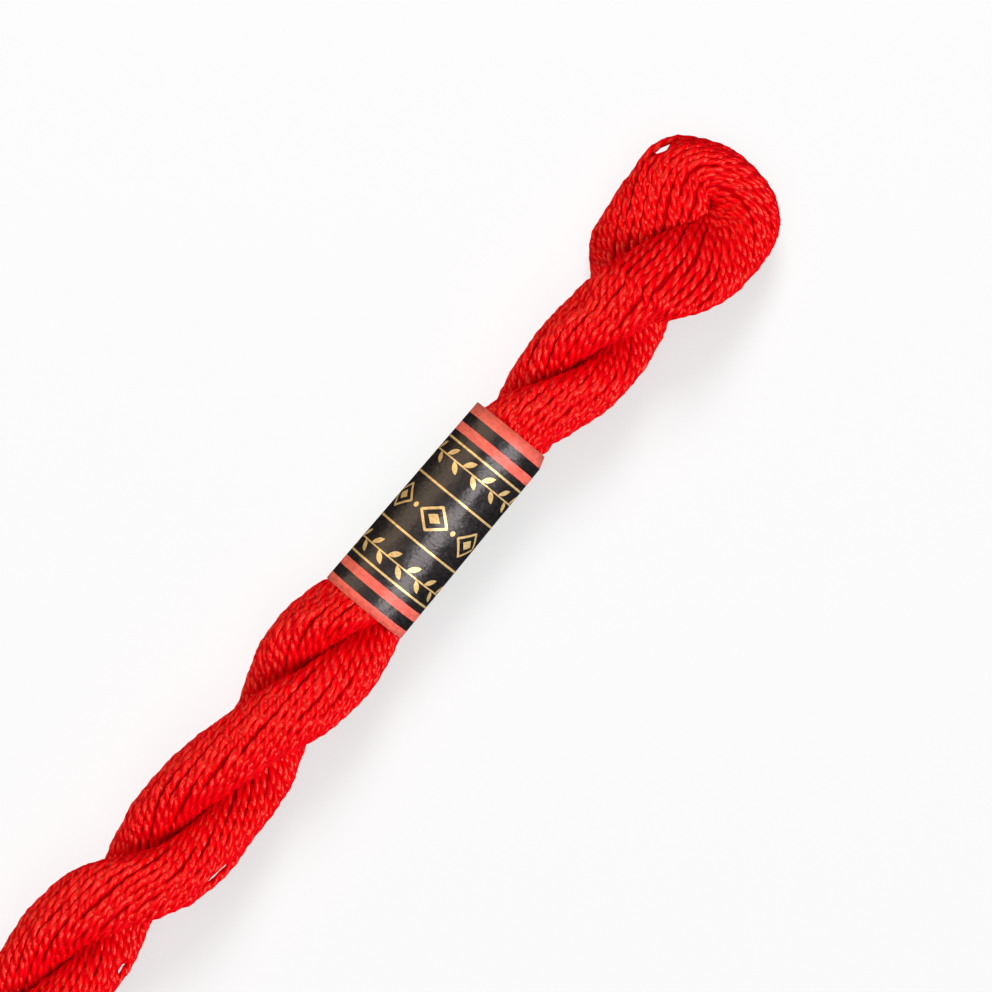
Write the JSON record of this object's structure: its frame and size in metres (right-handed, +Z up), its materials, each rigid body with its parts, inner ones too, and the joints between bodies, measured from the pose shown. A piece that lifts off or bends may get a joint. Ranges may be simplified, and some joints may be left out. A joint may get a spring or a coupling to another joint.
{
  "type": "skein of pearl cotton",
  "caption": "Twisted hank of two-ply pearl cotton thread with a loop at each end and a printed paper band round it.",
  "frame": {"origin": "centre of the bounding box's bottom, on the surface that the skein lies on", "axes": "+X along the skein to the end loop beside the paper band, +Y across the skein, +Z up"},
  "size_m": [0.23, 0.014, 0.0099],
  "materials": {
    "cotton_thread": "mercerised cotton, soft lustre",
    "printed_paper": "satin printed paper"
  },
  "bodies": {
    "root": {"hank": "cotton_thread", "band": "printed_paper"}
  },
  "joints": []
}
